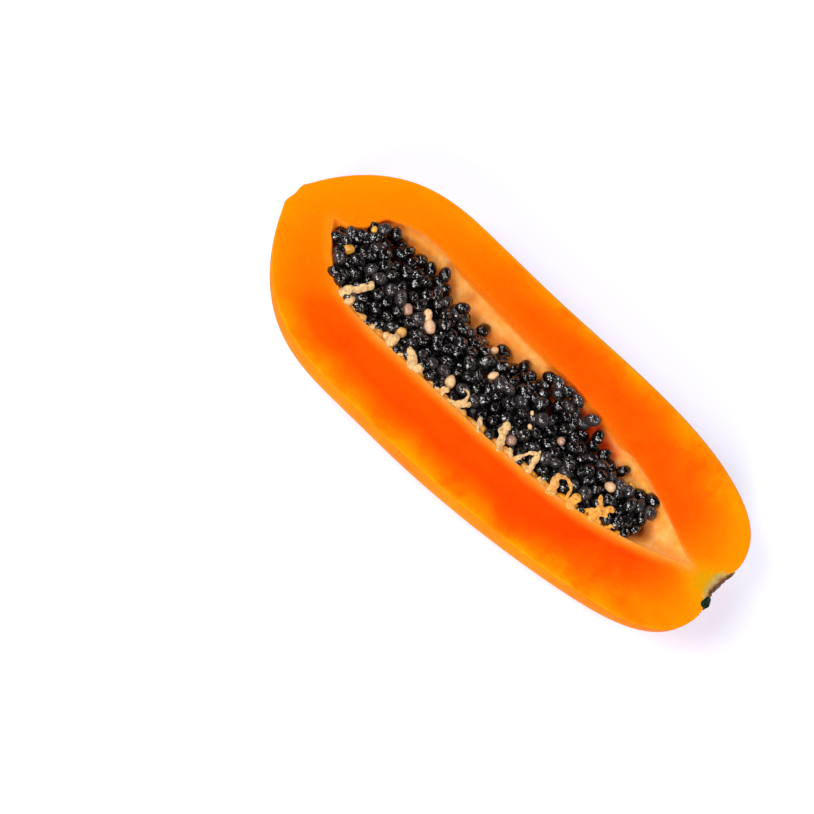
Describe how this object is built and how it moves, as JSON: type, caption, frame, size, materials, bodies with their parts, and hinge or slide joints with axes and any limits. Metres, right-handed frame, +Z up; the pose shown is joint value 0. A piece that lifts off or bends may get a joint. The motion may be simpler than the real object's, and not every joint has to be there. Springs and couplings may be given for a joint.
{
  "type": "halved papaya fruit",
  "caption": "Ripe papaya cut lengthwise, lying on its skin with the open seed cavity up, full of black seeds and pale placenta strands.",
  "frame": {"origin": "middle of the part's outline at the bottom, on the small flat spot that the fruit rests on", "axes": "+X along the fruit from the blossom end to the stem end, +Z up, out of the cut face; +Y across, towards the side of the cavity that the seeds leave bare"},
  "size_m": [0.2339, 0.0979, 0.0507],
  "materials": {
    "flesh_and_skin": "moist orange fruit flesh inside a thin waxy yellow-orange skin",
    "seeds": "black seeds in clear wet jelly coats, with a few pale unripe ones",
    "placenta": "moist cream to yellow strands",
    "stem": "dry torn stem, ochre where cut, with brown and dark green bark"
  },
  "bodies": {
    "root": {"fruit_half": "flesh_and_skin", "seeds": "seeds", "placenta": "placenta", "stem_stub": "stem"}
  },
  "joints": []
}
